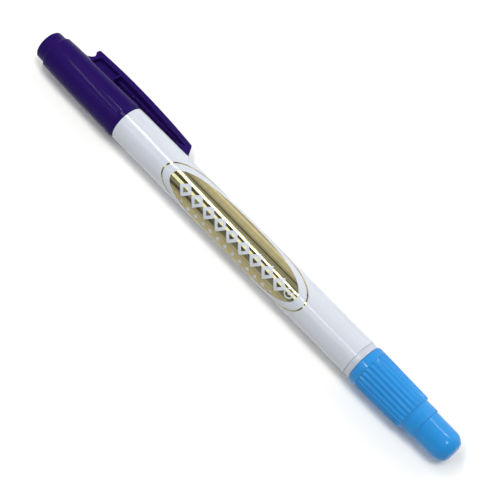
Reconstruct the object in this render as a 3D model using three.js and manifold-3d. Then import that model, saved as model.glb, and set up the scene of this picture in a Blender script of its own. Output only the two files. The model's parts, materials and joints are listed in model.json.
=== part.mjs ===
// Two-ended fabric marking pen, lying on a table. Millimetres, +Z up.
//
// The pen's axis runs along X: the blue end points to +X and the purple end to -X.
// The origin is on the table, under the middle of the pen's bounding box. The purple cap is
// rolled until the lower corner of its clip touches the table, as the pen comes to rest.
//
// Most pieces are turned from a half-section of [along, radius] points. A piece that both ends
// have is drawn once, measured outwards from the barrel's end or from the cap's mouth, and then
// placed at either end by its position and by half a turn about Z.

import * as THREE from 'three';
import { mergeVertices } from 'three/addons/utils/BufferGeometryUtils.js';
import Module from 'manifold-3d';

const wasm = await Module();
wasm.setup();

// ---- the whole pen ----
const PEN_HALF_LENGTH = 69;
const SHELL_SEGMENTS = 32;
const RIBBED_SEGMENTS = 48; // two to each grip groove
const INNER_SEGMENTS = 24;
const NIB_SEGMENTS = 12;

// ---- barrel ----
const BARREL_PURPLE_END = -40.1;
const BARREL_BLUE_END = 38.9;
const BARREL_RADIUS = 4.82;
const BARREL_SLIM_RADIUS = 4.73; // at the purple end, which the clip passes over
const BARREL_TAPER = 15;
const BARREL_BORE = 3.8;
const BARREL_CHAMFER = 0.15;

// ---- nib holders: a plug in the barrel, a neck for the cap, and a snout for the nib ----
const PLUG_LENGTH = 8;
const PLUG_RADIUS = 3.76;
const PLUG_LEAD_IN = [0.6, 0.3]; // length and drop of the taper that starts it into the barrel
const PLUG_BORE = 3.0;
const BLUE_COLLAR = 1.6; // length of the ring that shows between barrel and blue cap
const COLLAR_RADIUS = 4.7;
const NECK_LENGTH = 8.7;
const NECK_RADIUS = 3.9;
const NECK_CHAMFER = 0.4;
const SNAP_BEAD = 0.07; // how far the snap bead stands out of the neck
const SNAP_BEAD_AT = 4;
const SNAP_BEAD_HALF = 0.5;
const SNOUT_LENGTH = 6;
const SNOUT_ROOT_RADIUS = 2.5;
const SNOUT_ROOT = [1.4, 0.1]; // length and drop of its nearly straight root
const SNOUT_TIP_RADIUS = 1.6;
const SNOUT_BORE = 1.04;
const SNOUT_WALL = 0.6; // between the plug's bore and the neck's end

// ---- nibs ----
const NIB_RADIUS = 1.0;
const NIB_REACH = 18.1; // from the cap's mouth to the nib's tip
const NIB_STRAIGHT = 0.9; // of the part that shows
const NIB_TIP_RADIUS = 0.28;
const NIB_REAR_CHAMFER = [0.4, 0.2];
const NIB_SOAK = 3; // depth in the reservoir

// ---- reservoirs and the plug between them ----
const RESERVOIR_RADIUS = 3.3;
const RESERVOIR_LENGTH = 29.8;
const RESERVOIR_GAP = 0.3;
const RESERVOIR_HOLE = 1.06;
const RESERVOIR_HOLE_SPARE = 0.2; // how far the hole goes on past the nib
const FILM_BORE = 3.34;
const FILM_RADIUS = 3.5;
const DIVIDER_LENGTH = 2.2;
const DIVIDER_RIM = [0.5, 0.7]; // depth of its cupped faces and width of the rim round them

// ---- inner caps, which seal over the snouts ----
const LINER_MOUTH = 9.1; // from the cap's mouth
const LINER_LENGTH = 11.5;
const LINER_BORE = 2.65;
const LINER_LIP_BORE = 2.55;
const LINER_LIP = [0.5, 0.9]; // where the sealing lip is tightest and where it ends
const LINER_RADIUS = 3.15;
const LINER_FLOOR = 1;
const LINER_FLANGE = 1.2;
const LINER_SEAT = LINER_MOUTH + LINER_LENGTH + 0.3; // where each cap's bore steps in behind it
const PURPLE_FLANGE = 3.7;
const BLUE_FLANGE = 3.3;

// ---- purple cap ----
const MOUTH_GAP = 0.06; // each cap stops this far from what it closes against
const PURPLE_CAP_MOUTH = BARREL_PURPLE_END - MOUTH_GAP;
const PURPLE_CAP_LENGTH = PEN_HALF_LENGTH + PURPLE_CAP_MOUTH;
const PURPLE_MOUTH_RADIUS = 4.97;
const PURPLE_LIP_RADIUS = 4.6;
const PURPLE_LIP_LENGTH = 1.2;
const PURPLE_WAIST = [20, 4.7]; // where its taper gets steeper
const PURPLE_HEAD_LENGTH = 2.78;
const PURPLE_HEAD_RADIUS = 3.96;
const PURPLE_HEAD_ROOT_RADIUS = 4.0;
const PURPLE_HEAD_ROUND = 0.45;
const PURPLE_SHOULDER_RADIUS = 4.49;
const PURPLE_SHOULDER_LENGTH = 0.42;
const PURPLE_BORE = 4.08; // at the mouth
const PURPLE_LINER_BORE = 4.0; // at the inner cap's mouth
const PURPLE_SEAT_BORE = 3.75;
const PURPLE_POCKET = [0.5, 3.2, 2.9]; // length of its straight start, its bore there and at its floor
const PURPLE_END_WALL = 1.5;

// ---- blue cap ----
const BLUE_CAP_MOUTH = BARREL_BLUE_END + BLUE_COLLAR + MOUTH_GAP;
const BLUE_CAP_LENGTH = PEN_HALF_LENGTH - BLUE_CAP_MOUTH;
const BLUE_MOUTH_RADIUS = 5.0;
const BLUE_MOUTH_ROUND = 0.35;
const RIB_START = 2.1;
const RIB_END = 15.7;
const RIB_END_ROUND = [0.3, 0.12];
const RIB_COUNT = 24;
const RIB_END_RADIUS = 4.7;
const RIB_DEPTH = 0.26;
const GROOVE_RADIUS = 0.4;
const GROOVE_SETBACK = 0.3; // from the ribs' start
const GROOVE_RUN_OUT = 1; // past their end
const COLLAR_START = 16;
const COLLAR_END = [19.1, 19.4];
const BLUE_COLLAR_RADIUS = 4.2;
const NOSE_RADIUS = 3.92;
const NOSE_TIP_RADIUS = 3.86;
const NOSE_ROUND = 2.6;
const NOSE_FLAT_RADIUS = 2.6;
const BLUE_BORE = 4.05; // at the mouth
const BLUE_STEP = [13.6, 14.6]; // where its bore narrows to the inner cap's
const BLUE_STEP_BORE = [3.95, 3.35];
const BLUE_POCKET_BORE = 2.9;
const BLUE_END_WALL = 1.9;

// ---- clip, drawn with X along the pen and the radius from its axis upwards ----
const CLIP_HALF_WIDTH = 2.1;
const CLIP_TIP_WIDTH = 0.87; // share of the width that is left at the tip
const CLIP_THICKNESS = 1.4;
const CLIP_REAR_X = -59.45;
const CLIP_REAR_RADIUS = 8.22;
const CLIP_CROWN_RADIUS = 9.4; // control radius of the arched outer face
const CLIP_FRONT_X = -25.75;
const CLIP_FRONT_RADIUS = 7.62;
const CLIP_FOOT = 4.05; // radius at which its walls are sunk in the cap
const CLIP_SPLIT = -50.65; // where the rigid root ends and the springing arm begins
const CLIP_SPLIT_GAP = 0.3;
const CLIP_ROOT_WIDTH = 1.7; // of the web between the root's two walls
const CLIP_RIB_WIDTH = 1.0;
const CLIP_RIB_INNER = 6.4; // radius of the rib's inner edge
const JAW_INNER = 5.0; // radius of the jaw's face over the barrel
const JAW_FRONT = -24.05;
const JAW_REAR = -29.9;
const JAW_HEEL = [2.7, 5.85]; // end of the jaw's rear slope: distance from its rear, and radius
const JAW_TOP = 3.3; // distance from its rear at which it meets the strap

// ---- how it lies ----
const AXIS_HEIGHT = BLUE_MOUTH_RADIUS;
const CLIP_RISE = CLIP_CROWN_RADIUS - CLIP_REAR_RADIUS;
const CLIP_FALL = CLIP_CROWN_RADIUS - CLIP_FRONT_RADIUS;
const CLIP_OUTER = CLIP_REAR_RADIUS + CLIP_RISE ** 2 / (CLIP_RISE + CLIP_FALL); // highest radius of the arch
const CLIP_CORNER = Math.hypot(CLIP_OUTER, CLIP_HALF_WIDTH);
const CLIP_CORNER_ANGLE = Math.atan2(CLIP_HALF_WIDTH, CLIP_OUTER);
const CLIP_DROOP = Math.asin(AXIS_HEIGHT / CLIP_CORNER) - CLIP_CORNER_ANGLE;
const CLIP_SIDE = CLIP_CORNER * Math.cos(CLIP_DROOP - CLIP_CORNER_ANGLE);
const AXIS_Y = -(CLIP_SIDE - BLUE_MOUTH_RADIUS) / 2;

// ---- materials ----
const WHITE_PLASTIC = { color: 0xe4e6ee, roughness: 0.25, metalness: 0 };
const RING_PLASTIC = { color: 0xdde0e4, roughness: 0.35, metalness: 0 };
const PURPLE_PLASTIC = { color: 0x2c1a66, roughness: 0.3, metalness: 0 };
const BLUE_PLASTIC = { color: 0x339ae8, roughness: 0.35, metalness: 0 };
const NATURAL_PLASTIC = { color: 0xeceae2, roughness: 0.45, metalness: 0 };
const PURPLE_FIBRE = { color: 0x8a3fb0, roughness: 0.9, metalness: 0 };
const BLUE_FIBRE = { color: 0x2b8fd6, roughness: 0.9, metalness: 0 };
const CLEAR_FILM = { color: 0xd9dde0, roughness: 0.2, metalness: 0 };

function piece(name, geometry, look) {
  const mesh = new THREE.Mesh(geometry, new THREE.MeshStandardMaterial(look));
  mesh.name = name;
  return mesh;
}

// A closed half-section of [along, radius] points, turned about X.
function turned(section, segments) {
  const points = section.map(([along, radius]) => new THREE.Vector2(radius, along));
  const geometry = new THREE.LatheGeometry(points, segments);
  geometry.rotateZ(-Math.PI / 2);
  return geometry;
}

// A section that doesn't reach the axis closes on itself, as a ring.
function turnedRing(section, segments) {
  return turned([...section, section[0]], segments);
}

// Points of an arc in the half-section, from angle a0 to a1 in degrees from the radial direction.
function arc(along, radius, size, a0, a1, steps) {
  return Array.from({ length: steps + 1 }, (_, i) => {
    const a = THREE.MathUtils.degToRad(a0 + ((a1 - a0) * i) / steps);
    return [along + size * Math.sin(a), radius + size * Math.cos(a)];
  });
}

function toSolid(geometry) {
  const bare = geometry.clone();
  bare.deleteAttribute('normal');
  bare.deleteAttribute('uv');
  const merged = mergeVertices(bare);
  return new wasm.Manifold(new wasm.Mesh({
    numProp: 3,
    vertProperties: merged.attributes.position.array,
    triVerts: new Uint32Array(merged.index.array),
  }));
}

function toGeometry(solid) {
  const mesh = solid.getMesh();
  const geometry = new THREE.BufferGeometry();
  geometry.setAttribute('position', new THREE.BufferAttribute(mesh.vertProperties, 3));
  geometry.setIndex(new THREE.BufferAttribute(mesh.triVerts, 1));
  return geometry;
}

function joined(geometries) {
  const [first, ...others] = geometries.map(toSolid);
  return toGeometry(others.reduce((whole, next) => whole.add(next), first));
}

// ---- barrel and what it holds ----

function barrelGeometry() {
  const c = BARREL_CHAMFER;
  return turnedRing([
    [BARREL_PURPLE_END, BARREL_SLIM_RADIUS - c],
    [BARREL_PURPLE_END + c, BARREL_SLIM_RADIUS],
    [BARREL_PURPLE_END + BARREL_TAPER, BARREL_RADIUS],
    [BARREL_BLUE_END - c, BARREL_RADIUS],
    [BARREL_BLUE_END, BARREL_RADIUS - c],
    [BARREL_BLUE_END, BARREL_BORE],
    [BARREL_PURPLE_END, BARREL_BORE],
  ], SHELL_SEGMENTS);
}

// Measured outwards from the barrel's end. The collar has no length at the purple end.
function nibHolderGeometry(collar) {
  const neck = collar + NECK_LENGTH;
  const bead = collar + SNAP_BEAD_AT;
  const [leadLength, leadDrop] = PLUG_LEAD_IN;
  const [rootLength, rootDrop] = SNOUT_ROOT;
  const ring = collar > 0
    ? [[0, COLLAR_RADIUS], [collar, COLLAR_RADIUS], [collar, NECK_RADIUS]]
    : [[0, NECK_RADIUS]];
  return turnedRing([
    [-PLUG_LENGTH, PLUG_RADIUS - leadDrop],
    [-PLUG_LENGTH + leadLength, PLUG_RADIUS],
    [0, PLUG_RADIUS],
    ...ring,
    [bead - SNAP_BEAD_HALF, NECK_RADIUS],
    [bead, NECK_RADIUS + SNAP_BEAD],
    [bead + SNAP_BEAD_HALF, NECK_RADIUS],
    [neck - NECK_CHAMFER, NECK_RADIUS],
    [neck, NECK_RADIUS - NECK_CHAMFER],
    [neck, SNOUT_ROOT_RADIUS],
    [neck + rootLength, SNOUT_ROOT_RADIUS - rootDrop],
    [neck + SNOUT_LENGTH, SNOUT_TIP_RADIUS],
    [neck + SNOUT_LENGTH, SNOUT_BORE],
    [neck - SNOUT_WALL, SNOUT_BORE],
    [neck - SNOUT_WALL, PLUG_BORE],
    [-PLUG_LENGTH, PLUG_BORE],
  ], INNER_SEGMENTS);
}

function nibGeometry(collar) {
  const tip = collar + NIB_REACH;
  const snoutEnd = collar + NECK_LENGTH + SNOUT_LENGTH;
  const rear = -PLUG_LENGTH - RESERVOIR_GAP - NIB_SOAK;
  const [chamferLength, chamferDrop] = NIB_REAR_CHAMFER;
  return turned([
    [rear, 0],
    [rear, NIB_RADIUS - chamferDrop],
    [rear + chamferLength, NIB_RADIUS],
    [snoutEnd + NIB_STRAIGHT, NIB_RADIUS],
    [tip - NIB_TIP_RADIUS, NIB_TIP_RADIUS],
    [tip - NIB_TIP_RADIUS * (1 - Math.SQRT1_2), NIB_TIP_RADIUS * Math.SQRT1_2],
    [tip, 0],
  ], NIB_SEGMENTS);
}

function reservoirGeometry() {
  const front = -PLUG_LENGTH - RESERVOIR_GAP;
  const rear = front - RESERVOIR_LENGTH;
  const holeFloor = front - NIB_SOAK - RESERVOIR_HOLE_SPARE;
  return turned([
    [rear, 0],
    [rear, RESERVOIR_RADIUS],
    [front, RESERVOIR_RADIUS],
    [front, RESERVOIR_HOLE],
    [holeFloor, RESERVOIR_HOLE],
    [holeFloor, 0],
  ], INNER_SEGMENTS);
}

function reservoirFilmGeometry() {
  const front = -PLUG_LENGTH - RESERVOIR_GAP;
  const rear = front - RESERVOIR_LENGTH;
  return turnedRing([
    [rear, FILM_RADIUS],
    [front, FILM_RADIUS],
    [front, FILM_BORE],
    [rear, FILM_BORE],
  ], INNER_SEGMENTS);
}

function dividerGeometry() {
  const [cupDepth, rimWidth] = DIVIDER_RIM;
  const half = DIVIDER_LENGTH / 2;
  const cup = PLUG_RADIUS - rimWidth;
  return turned([
    [-half + cupDepth, 0],
    [-half + cupDepth, cup],
    [-half, cup],
    [-half, PLUG_RADIUS],
    [half, PLUG_RADIUS],
    [half, cup],
    [half - cupDepth, cup],
    [half - cupDepth, 0],
  ], INNER_SEGMENTS);
}

// ---- caps, measured inwards from the mouth ----

function innerCapGeometry(flangeRadius) {
  const end = LINER_MOUTH + LINER_LENGTH;
  const flange = end - LINER_FLANGE;
  const floor = end - LINER_FLOOR;
  const [lip, lipEnd] = LINER_LIP;
  return turned([
    [floor, 0],
    [floor, LINER_BORE],
    [LINER_MOUTH + lipEnd, LINER_BORE],
    [LINER_MOUTH + lip, LINER_LIP_BORE],
    [LINER_MOUTH, LINER_BORE],
    [LINER_MOUTH, LINER_RADIUS],
    [flange, LINER_RADIUS],
    [flange, flangeRadius],
    [end, flangeRadius],
    [end, 0],
  ], INNER_SEGMENTS);
}

function purpleCapBody() {
  const length = PURPLE_CAP_LENGTH;
  const shoulder = length - PURPLE_HEAD_LENGTH;
  const [pocketStraight, pocketBore, pocketFloorBore] = PURPLE_POCKET;
  const round = PURPLE_HEAD_ROUND;
  return turned([
    [length - PURPLE_END_WALL, 0],
    [length - PURPLE_END_WALL, pocketFloorBore],
    [LINER_SEAT + pocketStraight, pocketBore],
    [LINER_SEAT, pocketBore],
    [LINER_SEAT, PURPLE_SEAT_BORE],
    [LINER_MOUTH, PURPLE_LINER_BORE],
    [0, PURPLE_BORE],
    [0, PURPLE_LIP_RADIUS],
    [PURPLE_LIP_LENGTH, PURPLE_MOUTH_RADIUS],
    PURPLE_WAIST,
    [shoulder - PURPLE_SHOULDER_LENGTH, PURPLE_SHOULDER_RADIUS],
    [shoulder, PURPLE_HEAD_ROOT_RADIUS],
    ...arc(length - round, PURPLE_HEAD_RADIUS - round, round, 0, 90, 2),
    [length, 0],
  ], SHELL_SEGMENTS);
}

function blueCapBody() {
  const length = BLUE_CAP_LENGTH;
  const flatAngle = Math.acos((NOSE_FLAT_RADIUS - NOSE_TIP_RADIUS + NOSE_ROUND) / NOSE_ROUND);
  const noseCentre = length - NOSE_ROUND * Math.sin(flatAngle);
  const noseTurn = THREE.MathUtils.radToDeg(flatAngle);
  const [endRoundLength, endRoundDrop] = RIB_END_ROUND;
  const mouthRound = BLUE_MOUTH_ROUND;
  return turned([
    [length - BLUE_END_WALL, 0],
    [length - BLUE_END_WALL, BLUE_POCKET_BORE],
    [LINER_SEAT, BLUE_POCKET_BORE],
    [LINER_SEAT, BLUE_STEP_BORE[1]],
    [BLUE_STEP[1], BLUE_STEP_BORE[1]],
    [BLUE_STEP[0], BLUE_STEP_BORE[0]],
    [0, BLUE_BORE],
    [0, BLUE_MOUTH_RADIUS - mouthRound],
    ...arc(mouthRound, BLUE_MOUTH_RADIUS - mouthRound, mouthRound, -60, 0, 2),
    [RIB_START, BLUE_MOUTH_RADIUS],
    [RIB_END - endRoundLength, RIB_END_RADIUS],
    [RIB_END, RIB_END_RADIUS - endRoundDrop],
    [COLLAR_START, BLUE_COLLAR_RADIUS],
    [COLLAR_END[0], BLUE_COLLAR_RADIUS],
    [COLLAR_END[1], NOSE_RADIUS],
    ...arc(noseCentre, NOSE_TIP_RADIUS - NOSE_ROUND, NOSE_ROUND, 0, noseTurn, 4),
    [length, 0],
  ], RIBBED_SEGMENTS);
}

// A rod that leaves one groove in the cap's tapered grip, at the given angle about X.
function grooveRod(angle) {
  const start = RIB_START + GROOVE_SETBACK;
  const end = RIB_END + GROOVE_RUN_OUT;
  const drop = (BLUE_MOUTH_RADIUS - RIB_END_RADIUS) * ((end - start) / (RIB_END - RIB_START));
  const rod = new THREE.CylinderGeometry(GROOVE_RADIUS, GROOVE_RADIUS, end - start, 6);
  rod.rotateZ(-Math.PI / 2);
  rod.rotateY(Math.atan2(drop, end - start));
  const middle = BLUE_MOUTH_RADIUS - drop / 2 - RIB_DEPTH + GROOVE_RADIUS;
  rod.translate((start + end) / 2, 0, middle);
  rod.rotateX(angle);
  return rod;
}

function blueCapGeometry() {
  const step = (2 * Math.PI) / RIB_COUNT;
  const rods = Array.from({ length: RIB_COUNT }, (_, i) => toSolid(grooveRod(i * step)));
  return toGeometry(rods.reduce((cap, rod) => cap.subtract(rod), toSolid(blueCapBody())));
}

// ---- clip ----

// A side outline of [x, radius] points, given a width across the pen.
function slab(outline, width) {
  const shape = new THREE.Shape(outline.map(([x, r]) => new THREE.Vector2(x, r)));
  const geometry = new THREE.ExtrudeGeometry(shape, { depth: width, bevelEnabled: false });
  geometry.translate(0, 0, -width / 2);
  geometry.rotateX(Math.PI / 2);
  return geometry;
}

// Point of the clip's arched outer face at a given x, lowered by a depth.
function clipFace(x, depth = 0) {
  const u = (x - CLIP_REAR_X) / (CLIP_FRONT_X - CLIP_REAR_X);
  const radius = (1 - u) ** 2 * CLIP_REAR_RADIUS + 2 * u * (1 - u) * CLIP_CROWN_RADIUS
    + u ** 2 * CLIP_FRONT_RADIUS;
  return [x, radius - depth];
}

// Point half-way through the strap, where the walls and ribs under it end.
function clipMiddle(x) {
  return clipFace(x, CLIP_THICKNESS / 2);
}

function clipStrap(from, to, steps) {
  const xs = Array.from({ length: steps + 1 }, (_, i) => from + ((to - from) * i) / steps);
  const outer = xs.map((x) => clipFace(x));
  const inner = xs.map((x) => clipFace(x, CLIP_THICKNESS)).reverse();
  return slab([...outer, ...inner], 2 * CLIP_HALF_WIDTH);
}

// The root is a box under the strap: a flared wall at the rear, a web, and a wall at the split.
function clipRootGeometries() {
  const rear = CLIP_REAR_X;
  const endWall = [
    [rear - 0.9, CLIP_FOOT],
    [rear + 0.15, 5.05],
    [rear + 0.5, 5.9],
    [rear + 0.35, 6.6],
    [rear, 7.1],
    clipMiddle(rear),
    clipMiddle(rear + 1.8),
    [rear + 1.25, 5],
    [rear + 1.15, CLIP_FOOT],
  ];
  const web = [
    [rear + 1.1, CLIP_FOOT + 0.1],
    clipMiddle(rear + 1),
    clipMiddle(CLIP_SPLIT - 0.3),
    [CLIP_SPLIT - 0.7, CLIP_FOOT + 0.1],
  ];
  const frontWall = [
    [CLIP_SPLIT - 1.05, CLIP_FOOT],
    clipMiddle(CLIP_SPLIT - 0.65),
    clipMiddle(CLIP_SPLIT),
    [CLIP_SPLIT - 0.45, CLIP_FOOT],
  ];
  return [
    clipStrap(rear, CLIP_SPLIT, 4),
    slab(endWall, 2 * CLIP_HALF_WIDTH),
    slab(web, CLIP_ROOT_WIDTH),
    slab(frontWall, 2 * CLIP_HALF_WIDTH),
  ];
}

// Narrows a geometry evenly from the clip's split to its tip.
function narrowedToTip(geometry) {
  const position = geometry.attributes.position;
  const length = JAW_FRONT - CLIP_SPLIT;
  for (let i = 0; i < position.count; i += 1) {
    const u = Math.max(0, (position.getX(i) - CLIP_SPLIT) / length);
    position.setY(i, position.getY(i) * (1 - (1 - CLIP_TIP_WIDTH) * u));
  }
  return geometry;
}

function clipArmGeometry() {
  const start = CLIP_SPLIT + CLIP_SPLIT_GAP;
  const front = CLIP_FRONT_X;
  const [heelAt, heelRadius] = JAW_HEEL;
  const ribEnd = JAW_REAR + JAW_TOP + 0.6;
  const rib = [
    [start, CLIP_RIB_INNER],
    clipMiddle(start),
    clipMiddle(ribEnd),
    [ribEnd, CLIP_RIB_INNER],
  ];
  const jaw = [
    [JAW_REAR, JAW_INNER],
    [JAW_REAR + heelAt, heelRadius],
    clipMiddle(JAW_REAR + JAW_TOP),
    clipFace(front),
    [front + 0.5, CLIP_FRONT_RADIUS - 0.65],
    [JAW_FRONT, JAW_INNER],
  ];
  return joined([
    narrowedToTip(clipStrap(start, front, 8)),
    narrowedToTip(slab(rib, CLIP_RIB_WIDTH)),
    narrowedToTip(slab(jaw, 2 * CLIP_HALF_WIDTH)),
  ]);
}

function purpleCapGeometry() {
  const body = purpleCapBody();
  body.rotateZ(Math.PI);
  body.translate(PURPLE_CAP_MOUTH, 0, 0);
  return joined([body, ...clipRootGeometries()]);
}

// ---- assembly ----

function atPurpleEnd(mesh, x) {
  mesh.rotation.z = Math.PI;
  mesh.position.x = x;
  return mesh;
}

function atBlueEnd(mesh, x) {
  mesh.position.x = x;
  return mesh;
}

function purpleEnd() {
  const inBarrel = [
    piece('purple_nib_holder', nibHolderGeometry(0), NATURAL_PLASTIC),
    piece('purple_nib', nibGeometry(0), PURPLE_FIBRE),
    piece('purple_reservoir', reservoirGeometry(), PURPLE_FIBRE),
    piece('purple_reservoir_film', reservoirFilmGeometry(), CLEAR_FILM),
  ];
  const innerCap = piece('purple_inner_cap', innerCapGeometry(PURPLE_FLANGE), NATURAL_PLASTIC);
  return [
    ...inBarrel.map((mesh) => atPurpleEnd(mesh, BARREL_PURPLE_END)),
    atPurpleEnd(innerCap, PURPLE_CAP_MOUTH),
  ];
}

function blueEnd() {
  const inBarrel = [
    piece('blue_nib_holder', nibHolderGeometry(BLUE_COLLAR), RING_PLASTIC),
    piece('blue_nib', nibGeometry(BLUE_COLLAR), BLUE_FIBRE),
    piece('blue_reservoir', reservoirGeometry(), BLUE_FIBRE),
    piece('blue_reservoir_film', reservoirFilmGeometry(), CLEAR_FILM),
  ];
  const inCap = [
    piece('blue_inner_cap', innerCapGeometry(BLUE_FLANGE), NATURAL_PLASTIC),
    piece('blue_cap_shell', blueCapGeometry(), BLUE_PLASTIC),
  ];
  return [
    ...inBarrel.map((mesh) => atBlueEnd(mesh, BARREL_BLUE_END)),
    ...inCap.map((mesh) => atBlueEnd(mesh, BLUE_CAP_MOUTH)),
  ];
}

function barrelAndDivider() {
  const divider = piece('divider_plug', dividerGeometry(), NATURAL_PLASTIC);
  divider.position.x = (BARREL_PURPLE_END + BARREL_BLUE_END) / 2;
  return [piece('barrel', barrelGeometry(), WHITE_PLASTIC), divider];
}

// The clip is drawn straight up, so this turns it to the side and down to the table.
function rolledPurpleCap() {
  const cap = new THREE.Group();
  cap.add(piece('purple_cap_shell', purpleCapGeometry(), PURPLE_PLASTIC));
  cap.add(piece('pocket_clip', clipArmGeometry(), PURPLE_PLASTIC));
  cap.rotation.x = -(Math.PI / 2 + CLIP_DROOP);
  return cap;
}

const pen = new THREE.Group();
pen.add(...barrelAndDivider(), ...purpleEnd(), ...blueEnd(), rolledPurpleCap());
pen.position.set(0, AXIS_Y, AXIS_HEIGHT);

const group = new THREE.Group();
group.add(pen);

export default group;
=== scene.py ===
"""Looks of a two-ended fabric marking pen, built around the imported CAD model.

Shapes are written in millimetres and become metres when a mesh is made. "along" runs along the
pen's axis, "radius" is measured from it, and an angle about it runs from straight up towards +Y.
A cap's outline is measured from its mouth, and a nib section's from the barrel's end. An outline
point is (along, radius), or (along, radius, fillet) where its corner is rounded. The camera and the
lights are placed in metres.
"""

import json
import math

import bmesh
import bpy
from mathutils import Matrix, Vector


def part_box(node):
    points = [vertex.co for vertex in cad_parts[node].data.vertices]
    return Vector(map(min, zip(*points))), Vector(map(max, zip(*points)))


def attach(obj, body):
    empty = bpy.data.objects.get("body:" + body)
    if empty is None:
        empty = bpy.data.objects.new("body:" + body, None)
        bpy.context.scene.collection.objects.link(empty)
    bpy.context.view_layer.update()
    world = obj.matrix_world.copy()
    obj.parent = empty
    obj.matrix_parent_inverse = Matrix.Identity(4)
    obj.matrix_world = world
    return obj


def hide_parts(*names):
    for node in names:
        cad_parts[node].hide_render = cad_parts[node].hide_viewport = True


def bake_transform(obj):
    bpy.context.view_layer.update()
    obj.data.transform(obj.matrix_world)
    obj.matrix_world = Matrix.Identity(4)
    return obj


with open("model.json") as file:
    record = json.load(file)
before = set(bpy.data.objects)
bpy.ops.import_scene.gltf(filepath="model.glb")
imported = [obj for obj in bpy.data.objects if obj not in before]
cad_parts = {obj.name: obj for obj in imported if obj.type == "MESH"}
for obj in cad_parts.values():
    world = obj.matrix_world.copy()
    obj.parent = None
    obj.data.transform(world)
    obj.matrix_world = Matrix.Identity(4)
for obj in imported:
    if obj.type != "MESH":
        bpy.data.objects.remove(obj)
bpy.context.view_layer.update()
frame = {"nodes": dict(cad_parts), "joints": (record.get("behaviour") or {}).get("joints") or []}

MM = 0.001
JOINTS = {joint["name"]: joint for joint in frame["joints"]}
BARREL_LOW, BARREL_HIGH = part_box("barrel")
AXIS = (BARREL_LOW + BARREL_HIGH) / 2
BARREL_RADIUS = (BARREL_HIGH.z - BARREL_LOW.z) / 2 / MM
PEN_ALONG = Vector((1, 0, 0))
CLIP_ACROSS = Vector(JOINTS["clip_flex"]["axis"]).normalized()
CLIP_OUT = CLIP_ACROSS.cross(PEN_ALONG)

OUTWARD = {"purple": -1, "blue": 1}
BARREL_END_X = {"purple": BARREL_LOW.x, "blue": BARREL_HIGH.x}
CAP_MOUTH_X = {"purple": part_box("purple_cap_shell")[1].x, "blue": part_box("blue_cap_shell")[0].x}
CAP_END_X = {"purple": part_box("purple_cap_shell")[0].x, "blue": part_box("blue_cap_shell")[1].x}

AROUND = 160            # faces round a turned piece
ON_AXIS = 1e-6          # a ring with a smaller radius is a single point
FILLET_STEPS = 5        # faces round a fillet
FILLET_REACH = 0.49     # the most of a side that one fillet may take up
SHARP_ANGLE = math.radians(38)


def cap_length(end):
    return abs(CAP_END_X[end] - CAP_MOUTH_X[end]) / MM


# ---------------------------------------------------------------- outlines

def fillet(before, corner, after, radius):
    """Points of the arc that rounds one corner of an outline."""
    corner = Vector(corner)
    to_before, to_after = Vector(before) - corner, Vector(after) - corner
    half = to_before.angle(to_after) / 2
    longest = FILLET_REACH * min(to_before.length, to_after.length)
    reach = min(radius / math.tan(half), longest)
    size = reach * math.tan(half)
    start = corner + to_before.normalized() * reach
    end = corner + to_after.normalized() * reach
    bisector = (to_before.normalized() + to_after.normalized()).normalized()
    middle = corner + bisector * (size / math.sin(half))
    turn = (start - middle).angle_signed(end - middle)
    points = []
    for i in range(FILLET_STEPS + 1):
        points.append(middle + Matrix.Rotation(-turn * i / FILLET_STEPS, 2) @ (start - middle))
    return points


def rounded(outline, closed):
    """The points of an outline, with its fillets drawn."""
    count = len(outline)
    points = []
    for i, point in enumerate(outline):
        inside = closed or 0 < i < count - 1
        if len(point) == 3 and inside:
            before, after = outline[i - 1][:2], outline[(i + 1) % count][:2]
            points += fillet(before, point[:2], after, point[2])
        else:
            points.append(Vector(point[:2]))
    return points


def spread(outline, spacing):
    """The outline with extra points, so that no step is longer than the spacing."""
    points = [outline[0]]
    for before, after in zip(outline, outline[1:]):
        pieces = max(1, math.ceil((after - before).length / spacing))
        points += [before.lerp(after, (i + 1) / pieces) for i in range(pieces)]
    return points


# ---------------------------------------------------------------- meshes

def object_from(name, bm):
    """An object in the scene that holds this bmesh."""
    mesh = bpy.data.meshes.new(name)
    bm.to_mesh(mesh)
    bm.free()
    made = bpy.data.objects.new(name, mesh)
    bpy.context.scene.collection.objects.link(made)
    return made


def piece_from(name, bm, material, smooth=True):
    """A finished object from a bmesh, its faces pointing out. A smooth one keeps its crisp edges."""
    bmesh.ops.recalc_face_normals(bm, faces=bm.faces)
    piece = object_from(name, bm)
    piece.data.materials.append(material)
    if smooth:
        faces = piece.data.polygons
        faces.foreach_set("use_smooth", [True] * len(faces))
        piece.data.set_sharp_from_angle(angle=SHARP_ANGLE)
        shading = piece.modifiers.new("flat_faces_stay_flat", "WEIGHTED_NORMAL")
        shading.keep_sharp = True
    return piece


def turned(name, outline, start_x, outward, material, ring=False, around=AROUND, shape=None):
    """A closed body turned about the pen's axis.

    outward is +1 towards the blue end and -1 towards the purple. A ring's outline closes on itself,
    and any other starts and ends on the axis. shape may change a point's radius, given its place
    along, its radius and its angle.
    """
    bm = bmesh.new()
    rings = []
    for along, radius in outline:
        x = start_x + outward * along * MM
        if radius < ON_AXIS:
            rings.append([bm.verts.new((x, AXIS.y, AXIS.z))])
            continue
        loop = []
        for i in range(around):
            angle = 2 * math.pi * i / around
            r = (shape(along, radius, angle) if shape else radius) * MM
            loop.append(bm.verts.new((x, AXIS.y + r * math.sin(angle), AXIS.z + r * math.cos(angle))))
        rings.append(loop)
    pairs = list(zip(rings, rings[1:]))
    if ring:
        pairs.append((rings[-1], rings[0]))
    for a, b in pairs:
        for i in range(around):
            j = (i + 1) % around
            corners = [a[i % len(a)], a[j % len(a)], b[j % len(b)], b[i % len(b)]]
            bm.faces.new(list(dict.fromkeys(corners)))
    return piece_from(name, bm, material)


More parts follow.
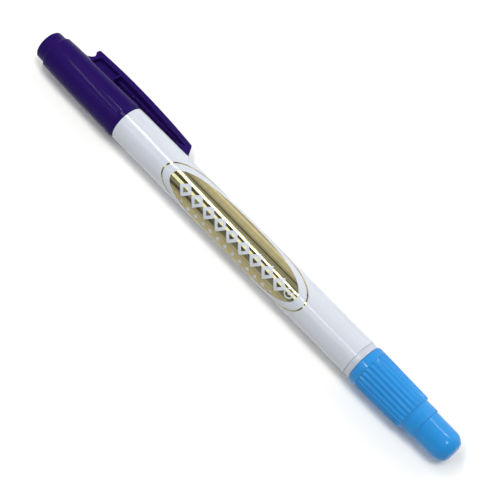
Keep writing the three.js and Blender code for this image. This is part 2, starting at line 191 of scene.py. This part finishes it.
def mount(piece, body, slot, *nodes):
    """The piece rides on a body and stands for CAD nodes, which it hides. The slot is not used."""
    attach(piece, body)
    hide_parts(*nodes)


# ---------------------------------------------------------------- materials

COLOUR_SPAN = (0.35, 0.65)     # the pattern values between which a colour changes
ROUGHNESS_SPAN = (0.3, 0.7)    # the same for the roughness


def new_material(name, **settings):
    """A Principled material, with the given socket values set on the shader itself."""
    material = bpy.data.materials.new(name)
    material.use_nodes = True
    shader = material.node_tree.nodes["Principled BSDF"]
    for socket, value in settings.items():
        shader.inputs[socket.replace("_", " ")].default_value = value
    return material


def add_noise(material, scale, detail, stretch=(1, 1, 1)):
    """A noise pattern fixed to the piece, measured in the object's own metres."""
    tree = material.node_tree
    place = tree.nodes.new("ShaderNodeTexCoord")
    mapping = tree.nodes.new("ShaderNodeMapping")
    mapping.inputs["Scale"].default_value = stretch
    noise = tree.nodes.new("ShaderNodeTexNoise")
    noise.inputs["Scale"].default_value = scale
    noise.inputs["Detail"].default_value = detail
    tree.links.new(place.outputs["Object"], mapping.inputs["Vector"])
    tree.links.new(mapping.outputs["Vector"], noise.inputs["Vector"])
    return noise.outputs["Fac"]


def vary_colour(material, pattern, dark, light):
    """The pattern mixes the base colour from dark to light."""
    tree = material.node_tree
    ramp = tree.nodes.new("ShaderNodeValToRGB")
    for stop, position, colour in zip(ramp.color_ramp.elements, COLOUR_SPAN, (dark, light)):
        stop.position = position
        stop.color = (*colour, 1)
    tree.links.new(pattern, ramp.inputs["Fac"])
    tree.links.new(ramp.outputs["Color"], tree.nodes["Principled BSDF"].inputs["Base Color"])


def set_range(node, from_low, from_high, to_low, to_high):
    """The two ranges of a Map Range node."""
    node.inputs["From Min"].default_value = from_low
    node.inputs["From Max"].default_value = from_high
    node.inputs["To Min"].default_value = to_low
    node.inputs["To Max"].default_value = to_high


def vary_roughness(material, pattern, low, high):
    """The pattern moves the roughness between low and high."""
    tree = material.node_tree
    gloss = tree.nodes.new("ShaderNodeMapRange")
    set_range(gloss, *ROUGHNESS_SPAN, low, high)
    tree.links.new(pattern, gloss.inputs["Value"])
    tree.links.new(gloss.outputs["Result"], tree.nodes["Principled BSDF"].inputs["Roughness"])


def add_bump(material, pattern, strength, distance):
    """The pattern raises the surface by up to this distance in metres, over any earlier bump."""
    tree = material.node_tree
    bump = tree.nodes.new("ShaderNodeBump")
    bump.inputs["Strength"].default_value = strength
    bump.inputs["Distance"].default_value = distance
    tree.links.new(pattern, bump.inputs["Height"])
    surface = tree.nodes["Principled BSDF"].inputs["Normal"]
    if surface.is_linked:
        tree.links.new(surface.links[0].from_socket, bump.inputs["Normal"])
    tree.links.new(bump.outputs["Normal"], surface)


def moulded_plastic(name, dark, light, roughness, wavy=False, **settings):
    """Moulded plastic: faint flow marks in its colour, uneven gloss and a fine skin.

    A wavy one is slowly uneven too, which bends the reflections on it.
    """
    material = new_material(name, **settings)
    flow_marks = add_noise(material, 90, 5, stretch=(0.35, 1, 1))
    vary_colour(material, flow_marks, dark, light)
    smudges = add_noise(material, 220, 3, stretch=(0.6, 1, 1))
    vary_roughness(material, smudges, roughness * 0.8, roughness * 1.25)
    if wavy:
        waves = add_noise(material, 150, 1, stretch=(0.55, 1, 1))
        add_bump(material, waves, 1.0, 0.00004)
    skin = add_noise(material, 2600, 2)
    add_bump(material, skin, 0.05, 0.00004)
    return material


def fibre(name, dark, light):
    """Bonded fibre, whose strands run along the pen."""
    material = new_material(name, Roughness=0.85)
    strands = add_noise(material, 2500, 6, stretch=(0.08, 1, 1))
    vary_colour(material, strands, dark, light)
    add_bump(material, strands, 0.5, 0.0001)
    return material


def foil_material():
    """Pale hot-stamped gold, with faint drag lines across the pen and uneven gloss."""
    material = new_material("gold_foil", Metallic=1.0)
    drag_lines = add_noise(material, 160, 3, stretch=(6, 0.25, 0.25))
    vary_colour(material, drag_lines, (0.325, 0.283, 0.15), (0.355, 0.308, 0.165))
    wear = add_noise(material, 420, 4)
    vary_roughness(material, wear, 0.05, 0.11)
    add_bump(material, drag_lines, 0.06, 0.00005)
    return material


WHITE = moulded_plastic("white_plastic", (0.595, 0.618, 0.68), (0.62, 0.642, 0.70), 0.11, wavy=True,
                        Specular_IOR_Level=0.3)
COLLAR = moulded_plastic("collar_plastic", (0.52, 0.55, 0.615), (0.56, 0.585, 0.65), 0.2,
                         Subsurface_Weight=0.2, Subsurface_Scale=0.001)
PURPLE = moulded_plastic("purple_plastic", (0.0165, 0.0055, 0.087), (0.0195, 0.0067, 0.099), 0.09,
                         Specular_IOR_Level=0.035)
BLUE = moulded_plastic("blue_plastic", (0.024, 0.258, 0.640), (0.028, 0.285, 0.690), 0.1,
                       Specular_IOR_Level=0.17)
NATURAL = moulded_plastic("natural_plastic", (0.70, 0.69, 0.62), (0.78, 0.77, 0.71), 0.45)
FILM = moulded_plastic("clear_film", (0.66, 0.69, 0.70), (0.74, 0.76, 0.77), 0.15, Alpha=0.5)
INK = {
    "purple": fibre("purple_fibre", (0.05, 0.008, 0.16), (0.16, 0.035, 0.36)),
    "blue": fibre("blue_fibre", (0.006, 0.07, 0.33), (0.03, 0.22, 0.62)),
}
GOLD = foil_material()


# ---------------------------------------------------------------- barrel

BARREL_BORE = 3.8        # radius
BARREL_SLIMMING = 0.09   # how much the barrel narrows towards the violet cap
SLIM_STRETCH = 15        # the length over which it does so
BARREL_AROUND = 192


def make_barrel():
    length = (BARREL_HIGH.x - BARREL_LOW.x) / MM
    slim = BARREL_RADIUS - BARREL_SLIMMING
    outline = rounded([
        (0, BARREL_BORE, 0.12),
        (0, slim, 0.14),
        (SLIM_STRETCH, BARREL_RADIUS, 1500),
        (length, BARREL_RADIUS, 0.1),
        (length, BARREL_BORE, 0.12),
    ], closed=True)
    barrel = turned("barrel_tube", outline, BARREL_LOW.x, 1, WHITE, ring=True, around=BARREL_AROUND)
    mount(barrel, "barrel_body", "white_plastic", "barrel")


# ---------------------------------------------------------------- foil label

LABEL_X = -0.76                  # middle of the label, from the pen's mid-length
LABEL_ANGLE = math.radians(-24)  # its middle about the axis
OVAL_HALF = (20.95, 6.22)        # half length, half width round the barrel
RING_HALF = (23.4, 8.08)         # the same, for the thin ring round the oval
RING_LINE = 0.4
FOIL_TOP = 0.02                  # how far the foil stands out of the barrel
FOIL_DEPTH = 0.05
FOIL_STEP = math.radians(3)      # turn between two cuts that let the foil follow the barrel
FOIL_WELD = 1e-4

DIAMOND_COUNT = 9
DIAMOND_PITCH = 3.95
DIAMOND_ACROSS = 0.35            # the row's place, from the label's middle line
DIAMOND_SIZES = [(1.85, 2.1), (0.8, 0.9)]  # half length and half width, outside and inside
SMALL_COUNT = 13
SMALL_PITCH = 2.52
SMALL_ACROSS = 3.7
SMALL_SIZE = (0.66, 0.7)
TARGET_PLACE = (18.9, 0.15)      # the ring with a dot, past the row's end
TARGET_RADII = (1.3, 0.95, 0.4)


def ellipse(half_length, half_width, middle=(0, 0), count=180):
    points = []
    for i in range(count):
        angle = 2 * math.pi * i / count
        points.append((middle[0] + half_length * math.cos(angle), middle[1] + half_width * math.sin(angle)))
    return points


def diamond(along, across, half_length, half_width):
    return [
        (along - half_length, across), (along, across - half_width),
        (along + half_length, across), (along, across + half_width),
    ]


def row_places(count, pitch):
    """Places along of a row that is centred on the label."""
    return [(i - (count - 1) / 2) * pitch for i in range(count)]


def label_outlines():
    """Closed outlines of (along, across). Each one inside another cuts a hole or fills it again."""
    outer = [half + RING_LINE / 2 for half in RING_HALF]
    inner = [half - RING_LINE / 2 for half in RING_HALF]
    outlines = [ellipse(*outer), ellipse(*inner), ellipse(*OVAL_HALF)]
    for along in row_places(DIAMOND_COUNT, DIAMOND_PITCH):
        outlines += [diamond(along, DIAMOND_ACROSS, *size) for size in DIAMOND_SIZES]
    for along in row_places(SMALL_COUNT, SMALL_PITCH):
        outlines.append(diamond(along, SMALL_ACROSS, *SMALL_SIZE))
    for radius in TARGET_RADII:
        outlines.append(ellipse(radius, radius, TARGET_PLACE, 48))
    return outlines


def flat_label():
    """The label's faces, still flat, from a filled 2D curve."""
    curve = bpy.data.curves.new("label_curve", "CURVE")
    curve.dimensions = "2D"
    curve.fill_mode = "BOTH"
    for outline in label_outlines():
        spline = curve.splines.new("POLY")
        spline.points.add(len(outline) - 1)
        for point, (along, across) in zip(spline.points, outline):
            point.co = (along, across, 0, 1)
        spline.use_cyclic_u = True
    drawn = bpy.data.objects.new("label_curve", curve)
    mesh = bpy.data.meshes.new_from_object(drawn)
    bm = bmesh.new()
    bm.from_mesh(mesh)
    bpy.data.objects.remove(drawn)
    bpy.data.curves.remove(curve)
    bpy.data.meshes.remove(mesh)
    bmesh.ops.remove_doubles(bm, verts=bm.verts, dist=FOIL_WELD)
    return bm


def cut_lengthways(bm):
    """Cuts the flat label into narrow strips, so that it can bend round the barrel."""
    step = BARREL_RADIUS * FOIL_STEP
    edge = RING_HALF[1] + 1
    for i in range(int(2 * edge / step) + 1):
        everything = bm.verts[:] + bm.edges[:] + bm.faces[:]
        place = (0, -edge + step * i, 0)
        bmesh.ops.bisect_plane(bm, geom=everything, plane_co=place, plane_no=(0, 1, 0), dist=1e-5)


def make_label():
    bm = flat_label()
    cut_lengthways(bm)
    raised = bmesh.ops.extrude_face_region(bm, geom=bm.faces[:])
    lower = {v for v in raised["geom"] if isinstance(v, bmesh.types.BMVert)}
    for vert in bm.verts:
        depth = FOIL_DEPTH if vert in lower else 0
        radius = (BARREL_RADIUS + FOIL_TOP - depth) * MM
        angle = LABEL_ANGLE - vert.co.y / BARREL_RADIUS
        vert.co = (
            (LABEL_X + vert.co.x) * MM,
            AXIS.y + radius * math.sin(angle),
            AXIS.z + radius * math.cos(angle),
        )
    label = piece_from("foil_label", bm, GOLD)
    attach(label, "barrel_body")


# ---------------------------------------------------------------- nib sections

PLUG_LENGTH = 8          # the part that is pressed into the barrel
PLUG_RADIUS = 3.76
HOLDER_BORE = 3.0        # radius
PURPLE_COLLAR = 0        # this end has none
BLUE_COLLAR = 1.6        # width of the ring that shows between the barrel and the blue cap
COLLAR_RADIUS = 4.7
NECK_RADIUS = 3.9
NECK_LENGTH = 8.7
BEAD_PLACE = 4.0         # of the snap bead, from the neck's start
BEAD_RADIUS = 3.98
BEAD_HALF = 0.6
SNOUT_LENGTH = 6
NIB_BORE = 1.04
NIB_RADIUS = 1.0
NIB_REACH = 3.4          # how far the nib stands out of the snout
NIB_REAR = -11.3         # its other end, in the reservoir
NIB_AROUND = 64


def nib_holder_outline(collar):
    """A plug, a collar of this width, a neck with a snap bead, and a snout with a bore for the nib."""
    bead = collar + BEAD_PLACE
    neck = collar + NECK_LENGTH
    snout = neck + SNOUT_LENGTH
    root = [(0, NECK_RADIUS)]
    if collar:
        root = [
            (0, 4.5), (0.1, 4.5), (0.1, COLLAR_RADIUS, 0.06), (collar, COLLAR_RADIUS, 0.12),
            (collar, NECK_RADIUS),
        ]
    return rounded([
        (-PLUG_LENGTH, HOLDER_BORE, 0.1), (-PLUG_LENGTH, 3.46), (0.6 - PLUG_LENGTH, PLUG_RADIUS, 0.3),
        (0, PLUG_RADIUS), *root,
        (bead - BEAD_HALF, NECK_RADIUS, 0.6), (bead, BEAD_RADIUS, 0.5), (bead + BEAD_HALF, NECK_RADIUS, 0.6),
        (neck, NECK_RADIUS, 0.4), (neck, 2.5, 0.15), (neck + 1.4, 2.4, 1.5), (snout, 1.6, 0.2),
        (snout, NIB_BORE, 0.06), (neck - 0.6, NIB_BORE), (neck - 0.6, HOLDER_BORE, 0.3),
    ], closed=True)


def nib_outline(collar):
    snout = collar + NECK_LENGTH + SNOUT_LENGTH
    tip = snout + NIB_REACH
    return rounded([
        (NIB_REAR, 0), (NIB_REAR, 0.8), (NIB_REAR + 0.4, NIB_RADIUS),
        (snout + 0.9, NIB_RADIUS, 0.8), (tip - 0.1, 0.3, 0.25), (tip, 0),
    ], closed=False)


def make_nib_section(end, material, slot, collar):
    start_x, outward = BARREL_END_X[end], OUTWARD[end]
    holder = turned(f"{end}_nib_section", nib_holder_outline(collar), start_x, outward, material, ring=True)
    mount(holder, "barrel_body", slot, f"{end}_nib_holder")
    nib = turned(f"{end}_nib_tip", nib_outline(collar), start_x, outward, INK[end], around=NIB_AROUND)
    mount(nib, "barrel_body", f"{end}_fibre", f"{end}_nib")


# ---------------------------------------------------------------- inner caps

LINER_LIP = 9.1          # where its open end is
LINER_TOP = 19.6         # where its inside ends
LINER_RADIUS = 3.15
LINER_BORE = 2.65
LINER_AROUND = 96
PURPLE_FLANGE = 3.7      # radius of the disc that is held in the cap
BLUE_FLANGE = 3.3


def make_inner_cap(end, flange):
    """The liner that closes over the snout, with a thin lip at its mouth and a flange at its top."""
    outline = rounded([
        (LINER_TOP, 0), (LINER_TOP, LINER_BORE, 0.3), (10.0, LINER_BORE, 0.3), (9.6, 2.55, 0.2),
        (LINER_LIP, 2.68, 0.1), (LINER_LIP, LINER_RADIUS, 0.15), (19.4, LINER_RADIUS, 0.15),
        (19.4, flange, 0.15), (20.6, flange, 0.2), (20.6, 0),
    ], closed=False)
    liner = turned(f"{end}_cap_liner", outline, CAP_MOUTH_X[end], OUTWARD[end], NATURAL, around=LINER_AROUND)
    mount(liner, f"{end}_cap_seal", "natural_plastic", f"{end}_inner_cap")


# ---------------------------------------------------------------- purple cap

PURPLE_HEAD = 2.78       # length of the stepped head
PURPLE_TOP = 1.5         # thickness of the closed end
PURPLE_SHELF = 20.9      # where the liner's flange rests


def make_purple_cap():
    length = cap_length("purple")
    shoulder = length - PURPLE_HEAD
    inside = [
        (length - PURPLE_TOP, 0), (length - PURPLE_TOP, 2.9, 0.4), (PURPLE_SHELF + 0.5, 3.2),
        (PURPLE_SHELF, 3.2, 0.1), (PURPLE_SHELF, 3.75, 0.1), (9.1, 4.0, 60), (0, 4.08, 0.1),
    ]
    outside = [
        (0, 4.6, 0.15), (1.2, 4.97, 0.6), (20, 4.7, 400), (shoulder - 0.42, 4.49, 0.3),
        (shoulder, 4.0, 0.3), (length, 3.94, 0.55), (length, 0),
    ]
    outline = rounded(inside + outside, closed=False)
    cap = turned("purple_cap_moulding", outline, CAP_MOUTH_X["purple"], OUTWARD["purple"], PURPLE)
    mount(cap, "purple_cap", "purple_plastic", "purple_cap_shell")


# ---------------------------------------------------------------- clip, with x along the pen

CLIP_REAR = -59.45
CLIP_FRONT = -25.75
CLIP_REAR_RADIUS = 8.22
CLIP_CROWN_RADIUS = 9.3  # control radius of the arched outer face
CLIP_FRONT_RADIUS = 7.62
CLIP_THICKNESS = 1.4
CLIP_FOOT = 4.15         # radius at which its walls are sunk in the cap
CLIP_SPLIT = -50.65      # where the rigid root ends
CLIP_NARROWING = 0.13    # the share of its width that it loses from there to its tip
JAW_FRONT = -24.05
JAW_REAR = -29.9
JAW_INNER = 4.9
RIB_INNER = 6.4
STRAP_WIDTH, STRAP_EDGE = 4.2, 0.2
WEB_WIDTH, WEB_EDGE = 1.7, 0.1
WALL_WIDTH, WALL_EDGE = 4.0, 0.12
RIB_WIDTH, RIB_EDGE = 1.0, 0.15


def clip_face(x, depth=0.0):
    """Point of the clip's arched outer face at this x, lowered by a depth."""
    u = (x - CLIP_REAR) / (CLIP_FRONT - CLIP_REAR)
    arch = (1 - u) ** 2 * CLIP_REAR_RADIUS + 2 * u * (1 - u) * CLIP_CROWN_RADIUS
    return (x, arch + u ** 2 * CLIP_FRONT_RADIUS - depth)


def stations(start, end, spacing=0.8):
    """Evenly spaced places from start to end."""
    count = max(2, round(abs(end - start) / spacing))
    return [start + (end - start) * i / count for i in range(count + 1)]


def strap_outline():
    """Side view of the strap with its rear wall and its jaw, as one closed outline of (x, radius)."""
    rear = CLIP_REAR
    outer = [clip_face(x) for x in stations(rear + 0.8, CLIP_FRONT - 0.4)]
    inner = [clip_face(x, CLIP_THICKNESS) for x in stations(JAW_REAR + 3.9, rear + 2.4)]
    return rounded([
        (rear - 0.95, CLIP_FOOT), (rear + 0.1, 5.0, 0.8), (rear + 0.5, 5.9, 0.6), (rear + 0.15, 6.6, 0.6),
        (rear - 0.3, 7.1, 0.4), (*clip_face(rear - 0.3), 0.5), *outer,
        (*clip_face(CLIP_FRONT), 0.35), (CLIP_FRONT + 0.55, CLIP_FRONT_RADIUS - 0.7, 1.2),
        (JAW_FRONT, JAW_INNER, 0.15), (JAW_REAR, JAW_INNER + 0.02, 0.15),
        (JAW_REAR + 2.7, 5.85, 0.5), (*clip_face(JAW_REAR + 3.35, CLIP_THICKNESS), 0.3), *inner,
        (*clip_face(rear + 1.75, CLIP_THICKNESS), 0.4), (rear + 1.25, 5.0, 0.8), (rear + 1.15, CLIP_FOOT),
    ], closed=True)


def web_outline():
    """The web that fills the root between its two walls."""
    foot = CLIP_FOOT + 0.05
    return [
        (CLIP_REAR + 1.0, foot), clip_face(CLIP_REAR + 0.9, 0.6), clip_face(CLIP_SPLIT - 0.35, 0.6),
        (CLIP_SPLIT - 0.7, foot),
    ]


def split_wall_outline():
    """The root's front wall."""
    return [
        (CLIP_SPLIT - 1.05, CLIP_FOOT), clip_face(CLIP_SPLIT - 0.65, 0.7), clip_face(CLIP_SPLIT - 0.05, 0.7),
        (CLIP_SPLIT - 0.45, CLIP_FOOT),
    ]


def rib_outline():
    """The stiffening rib under the springing arm."""
    rear, front = CLIP_SPLIT - 0.5, JAW_REAR + 4.5
    top = [clip_face(x, 0.5) for x in stations(rear, front)]
    bottom = [(x, RIB_INNER) for x in stations(front, rear)]
    return [*top, *bottom]


def clip_slab(name, outline, width, edge):
    """A slab of the clip with this side view and width, its long edges rounded."""
    bm = bmesh.new()
    near, far = [], []
    for x, radius in outline:
        narrowing = 1 - CLIP_NARROWING * max(0, (x - CLIP_SPLIT) / (JAW_FRONT - CLIP_SPLIT))
        half = width / 2 * narrowing
        for side, row in ((-half, near), (half, far)):
            place = Vector((x * MM, AXIS.y, AXIS.z)) + CLIP_OUT * radius * MM + CLIP_ACROSS * side * MM
            row.append(bm.verts.new(place))
    count = len(outline)
    sides = [bm.faces.new(near), bm.faces.new(list(reversed(far)))]
    for i in range(count):
        j = (i + 1) % count
        bm.faces.new([near[j], near[i], far[i], far[j]])
    bm.normal_update()
    rims = list({e for face in sides for e in face.edges})
    bmesh.ops.bevel(bm, geom=rims, offset=edge * MM, segments=3, profile=0.5, affect="EDGES",
                    clamp_overlap=True)
    bmesh.ops.recalc_face_normals(bm, faces=bm.faces)
    return object_from(name, bm)


def united(name, parts, material):
    """One closed mesh from several that overlap."""
    whole, *others = parts
    for other in others:
        join = whole.modifiers.new("union", "BOOLEAN")
        join.operation = "UNION"
        join.solver = "EXACT"
        join.object = other
    bpy.context.view_layer.update()
    evaluated = whole.evaluated_get(bpy.context.evaluated_depsgraph_get())
    bm = bmesh.new()
    bm.from_mesh(evaluated.to_mesh())
    for part in parts:
        bpy.data.objects.remove(part)
    return piece_from(name, bm, material)


def make_clip():
    parts = [
        clip_slab("clip_strap", strap_outline(), STRAP_WIDTH, STRAP_EDGE),
        clip_slab("clip_web", web_outline(), WEB_WIDTH, WEB_EDGE),
        clip_slab("clip_wall", split_wall_outline(), WALL_WIDTH, WALL_EDGE),
        clip_slab("clip_rib", rib_outline(), RIB_WIDTH, RIB_EDGE),
    ]
    clip = united("pocket_clip_moulding", parts, PURPLE)
    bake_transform(clip)
    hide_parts("pocket_clip")


# ---------------------------------------------------------------- blue cap

GRIP_COUNT = 24          # ribs round the cap
GRIP_START = 2.0
GRIP_FULL = 2.75         # where a rib's rounded start reaches its full height
GRIP_END = 15.7
GRIP_DEPTH = 0.3
GRIP_RUN_OUT = 0.2       # how far the grooves run on past the end
GRIP_ROOT = 4.3          # nothing under this radius is ribbed
GRIP_FADE_IN = 0.25
GRIP_FADE_OUT = 0.5
RIB_ROUNDNESS = 0.65     # 1 makes a rib as broad as a groove, and less makes it broader
GROOVE_FLOOR = 0.02      # the height under which a groove counts as its floor
GROOVE_PHASE = math.radians(0.75)
FACES_PER_RIB = 14
BLUE_TOP = 1.9           # thickness of the closed end
BLUE_SHELF = 20.9        # where the liner's flange rests
BLUE_SPACING = 0.22      # the longest face along the cap


def ribbed(along, radius, angle):
    """Lowers the cap's surface between its ribs, and at the ribs' rounded starts."""
    last = GRIP_END + GRIP_RUN_OUT
    if radius < GRIP_ROOT or not GRIP_START < along < last:
        return radius
    wave = 0.5 - 0.5 * math.cos(GRIP_COUNT * (angle - GROOVE_PHASE))  # 0 in a groove, 1 on a rib
    side = wave ** RIB_ROUNDNESS
    run = min(1, (along - GRIP_START) / (GRIP_FULL - GRIP_START))
    nose = math.sqrt(max(0, 1 - (1 - run) ** 2)) if wave > GROOVE_FLOOR else 0
    fade_in = min(1, (along - GRIP_START) / GRIP_FADE_IN)
    fade_out = max(0, min(1, (last - along) / GRIP_FADE_OUT))
    height = side * min(1, nose * (0.35 + 0.65 * side) * 1.1)
    return radius - GRIP_DEPTH * (1 - height) * fade_in * fade_out


def make_blue_cap():
    length = cap_length("blue")
    inside = [
        (length - BLUE_TOP, 0), (length - BLUE_TOP, 2.9, 0.5), (BLUE_SHELF, 2.9, 0.1),
        (BLUE_SHELF, 3.35, 0.1), (14.6, 3.35, 0.3), (13.6, 3.95, 0.5), (0, 4.05, 0.1),
    ]
    grip = [(0, 5.0, 0.42), (2.0, 5.0, 2), (GRIP_END, 4.7, 0.3)]
    collar = [(GRIP_END + 0.32, 4.2, 0.2), (19.25, 4.2, 0.1), (19.5, 3.93, 0.15)]
    nose = [
        (length - 2.0, 3.86, 2.5), (length - 0.42, 2.7, 0.7), (length - 0.1, 1.6, 2), (length, 0),
    ]
    outline = spread(rounded(inside + grip + collar + nose, closed=False), BLUE_SPACING)
    cap = turned("blue_cap_moulding", outline, CAP_MOUTH_X["blue"], OUTWARD["blue"], BLUE,
                 around=GRIP_COUNT * FACES_PER_RIB, shape=ribbed)
    mount(cap, "blue_cap", "blue_plastic", "blue_cap_shell")


# ---------------------------------------------------------------- nodes that stay as they are

def finish_inner_nodes():
    """The sealed pieces keep their CAD shapes and get their real materials."""
    looks = {
        "divider_plug": NATURAL,
        "purple_reservoir": INK["purple"],
        "blue_reservoir": INK["blue"],
        "purple_reservoir_film": FILM,
        "blue_reservoir_film": FILM,
    }
    for node, material in looks.items():
        mesh = frame["nodes"][node].data
        mesh.materials.clear()
        mesh.materials.append(material)


# ---------------------------------------------------------------- camera

CAMERA_AZIMUTH = math.radians(47.2)
CAMERA_ELEVATION = math.radians(69.5)
CAMERA_DISTANCE = 0.36
CAMERA_LENS = 112.3      # mm, on a sensor of this width
CAMERA_SENSOR = 36
CAMERA_NEAR = 0.01
CAMERA_AIM = Vector((0.0033, AXIS.y - 0.00034, AXIS.z - 0.0001))


def make_camera():
    back = Vector((
        math.sin(CAMERA_AZIMUTH) * math.cos(CAMERA_ELEVATION),
        -math.cos(CAMERA_AZIMUTH) * math.cos(CAMERA_ELEVATION),
        math.sin(CAMERA_ELEVATION),
    ))
    data = bpy.data.cameras.new("camera")
    data.lens = CAMERA_LENS
    data.sensor_width = CAMERA_SENSOR
    data.clip_start = CAMERA_NEAR
    camera = bpy.data.objects.new("camera", data)
    camera.location = CAMERA_AIM + back * CAMERA_DISTANCE
    camera.rotation_euler = back.to_track_quat("Z", "Y").to_euler()
    bpy.context.scene.collection.objects.link(camera)
    bpy.context.scene.camera = camera


# ---------------------------------------------------------------- lights

NEUTRAL = (1.0, 1.0, 1.0)
COOL = (0.88, 1.0, 1.08)


def soft_light(name, x, tilt, distance, size, radiance, spin=0.0, colour=NEUTRAL):
    """A rectangular light facing the pen's axis, tilted in degrees from straight above towards +Y.

    Its first size runs along the pen, and spin turns it in its own plane. Its radiance is given, so
    a larger light is no brighter to look at.
    """
    data = bpy.data.lights.new(name, "AREA")
    data.shape = "RECTANGLE"
    data.size, data.size_y = size
    data.energy = radiance * math.pi * size[0] * size[1]
    data.color = colour
    light = bpy.data.objects.new(name, data)
    back = Vector((0, math.sin(math.radians(tilt)), math.cos(math.radians(tilt))))
    facing = Matrix((PEN_ALONG, back.cross(PEN_ALONG), back)).transposed()
    turn = facing @ Matrix.Rotation(math.radians(spin), 3, "Z")
    place = Vector((x, AXIS.y, AXIS.z)) + back * distance
    light.matrix_world = Matrix.Translation(place) @ turn.to_4x4()
    light.visible_camera = False
    bpy.context.scene.collection.objects.link(light)


def make_highlight_strips():
    """Thin, bright lights, whose reflections are the sharp lines along the pen."""
    soft_light("strip_far", -0.247, 9.5, 0.608, (0.288, 0.021), 29.0, spin=-63.1)
    soft_light("strip_near", -0.1334, -8.05, 0.606, (0.150, 0.021), 23.0, spin=-49.3)
    soft_light("strip_tail", -0.048, -15.4, 0.622, (0.028, 0.045), 46.0)
    soft_light("strip_glow", -0.180, -0.6, 0.6, (0.44, 0.075), 2.7, spin=-57.5)
    soft_light("end_strip", -0.333, -0.8, 0.6, (0.21, 0.024), 16.0, spin=-76.3)
    soft_light("cap_glint", -0.304, 17.84, 0.63, (0.010, 0.03), 150.0)
    soft_light("side_slit", 0.018, 39.5, 0.6, (0.036, 0.012), 110.0)


def make_broad_lights():
    """Large, softer lights on all sides, which shade the plastics and give the foil its bands."""
    soft_light("near_softbox", -0.19, -30.5, 0.6, (0.30, 0.17), 2.7, spin=-20, colour=COOL)
    soft_light("near_mid", -0.32, -50.5, 0.75, (0.17, 0.22), 0.5, colour=COOL)
    soft_light("near_low", -0.14, -68, 0.8, (0.19, 0.48), 0.3, colour=COOL)
    soft_light("left_card", -0.62, 0, 0.75, (0.35, 0.9), 0.5)
    soft_light("right_card", 0.70, 0, 0.75, (0.35, 0.9), 0.6)
    soft_light("far_panel", -0.15, 13, 0.7, (0.6, 0.27), 0.58, colour=COOL)
    soft_light("side_wall_left", -0.165, 68, 0.8, (0.33, 0.646), 1.1)
    soft_light("side_wall_right", 0.30, 68, 0.8, (0.60, 0.646), 1.35)
    soft_light("wall_edge", 0.0, 39, 0.75, (0.9, 0.205), 0.72)


def make_key_light():
    """The main light, which throws the pen's shadow and makes the table white."""
    soft_light("key", 0.56, 7, 2.6, (0.8, 0.6), 19.2)


# ---------------------------------------------------------------- room and table

WORLD_COLOUR = (0.97, 0.98, 1.0, 1)
WALL_GLOW = 0.85
CEILING_GLOW = 0.16
WALL_TOP = 0.10          # Z of the direction in which the wall starts to fade
CEILING_EDGE = 0.36      # Z of the direction from which all is ceiling
FILL_SHARE = 0.22        # the share of the glow that shades matt surfaces; reflections get all of it
TABLE_HALF = 1.5
TABLE_DROP = 0.00002     # keeps the table clear of the pen's lowest points


def make_world():
    """A pale wall round the horizon, fading into a dim ceiling, where the lights hang."""
    world = bpy.data.worlds.new("studio")
    world.use_nodes = True
    tree = world.node_tree
    direction = tree.nodes.new("ShaderNodeTexCoord")
    split = tree.nodes.new("ShaderNodeSeparateXYZ")
    glow = tree.nodes.new("ShaderNodeMapRange")
    glow.interpolation_type = "SMOOTHSTEP"
    set_range(glow, WALL_TOP, CEILING_EDGE, WALL_GLOW, CEILING_GLOW)
    ray = tree.nodes.new("ShaderNodeLightPath")
    share = tree.nodes.new("ShaderNodeMapRange")
    set_range(share, 0, 1, 1, FILL_SHARE)
    strength = tree.nodes.new("ShaderNodeMath")
    strength.operation = "MULTIPLY"
    background = tree.nodes["Background"]
    background.inputs["Color"].default_value = WORLD_COLOUR
    tree.links.new(direction.outputs["Generated"], split.inputs["Vector"])
    tree.links.new(split.outputs["Z"], glow.inputs["Value"])
    tree.links.new(ray.outputs["Is Diffuse Ray"], share.inputs["Value"])
    tree.links.new(glow.outputs["Result"], strength.inputs[0])
    tree.links.new(share.outputs["Result"], strength.inputs[1])
    tree.links.new(strength.outputs["Value"], background.inputs["Strength"])
    bpy.context.scene.world = world


def make_table():
    material = new_material("table_white", Roughness=0.6)
    mottle = add_noise(material, 6, 3)
    vary_colour(material, mottle, (0.985, 0.965, 0.93), (0.995, 0.975, 0.94))
    bm = bmesh.new()
    bmesh.ops.create_grid(bm, x_segments=2, y_segments=2, size=TABLE_HALF)
    table = piece_from("table_top", bm, material, smooth=False)
    table.location = (0, 0, -TABLE_DROP)


make_camera()
make_barrel()
make_label()
make_nib_section("purple", NATURAL, "natural_plastic", PURPLE_COLLAR)
make_nib_section("blue", COLLAR, "collar_plastic", BLUE_COLLAR)
make_inner_cap("purple", PURPLE_FLANGE)
make_inner_cap("blue", BLUE_FLANGE)
make_purple_cap()
make_clip()
make_blue_cap()
finish_inner_nodes()
make_table()
make_highlight_strips()
make_broad_lights()
make_key_light()
make_world()
bpy.context.scene.view_settings.view_transform = "Standard"
